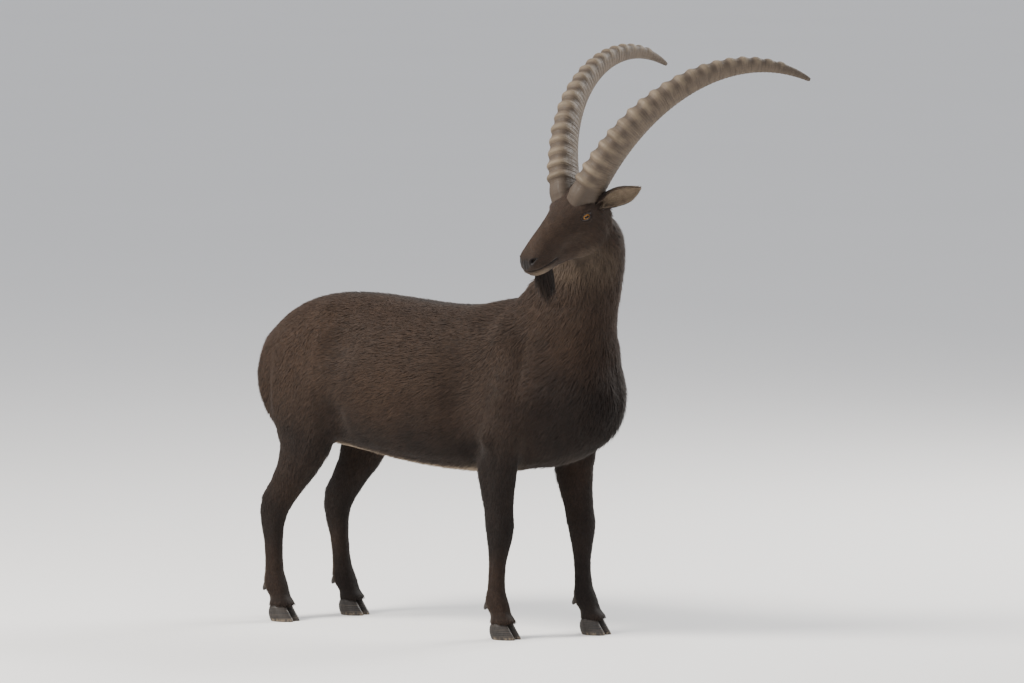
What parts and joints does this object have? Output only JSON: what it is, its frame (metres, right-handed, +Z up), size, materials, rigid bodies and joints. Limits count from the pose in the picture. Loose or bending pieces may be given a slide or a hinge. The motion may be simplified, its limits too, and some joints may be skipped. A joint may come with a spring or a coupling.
{
  "type": "alpine ibex",
  "caption": "Life-size still figure of a male alpine ibex, standing on its hooves with its head turned back over its shoulder and long ridged horns.",
  "frame": {"origin": "on the floor under the middle of the whole figure's box", "axes": "+X the way the body faces, +Y the animal's left, +Z up"},
  "size_m": [1.5134, 0.7876, 1.548],
  "materials": {
    "coat": "short matt hair, dark grey-brown",
    "dark_coat": "matt hair, nearly black brown",
    "horn": "dry horn, grey-brown",
    "hoof": "dull, nearly black",
    "eye": "wet gloss, amber"
  },
  "bodies": {
    "root": {"beard": "dark_coat", "dewclaw_front_left_inner": "hoof", "dewclaw_front_left_outer": "hoof", "dewclaw_front_right_inner": "hoof", "dewclaw_front_right_outer": "hoof", "dewclaw_hind_left_inner": "hoof", "dewclaw_hind_left_outer": "hoof", "dewclaw_hind_right_inner": "hoof", "dewclaw_hind_right_outer": "hoof", "ear_left": "coat", "ear_right": "coat", "eye_left": "eye", "eye_right": "eye", "head": "coat", "hoof_front_left_inner": "hoof", "hoof_front_left_outer": "hoof", "hoof_front_right_inner": "hoof", "hoof_front_right_outer": "hoof", "hoof_hind_left_inner": "hoof", "hoof_hind_left_outer": "hoof", "hoof_hind_right_inner": "hoof", "hoof_hind_right_outer": "hoof", "horn_left": "horn", "horn_right": "horn", "leg_front_left_lower": "dark_coat", "leg_front_left_upper": "coat", "leg_front_right_lower": "dark_coat", "leg_front_right_upper": "coat", "leg_hind_left_lower": "dark_coat", "leg_hind_left_upper": "coat", "leg_hind_right_lower": "dark_coat", "leg_hind_right_upper": "coat", "neck": "coat", "tail": "dark_coat", "torso": "coat"}
  },
  "joints": []
}
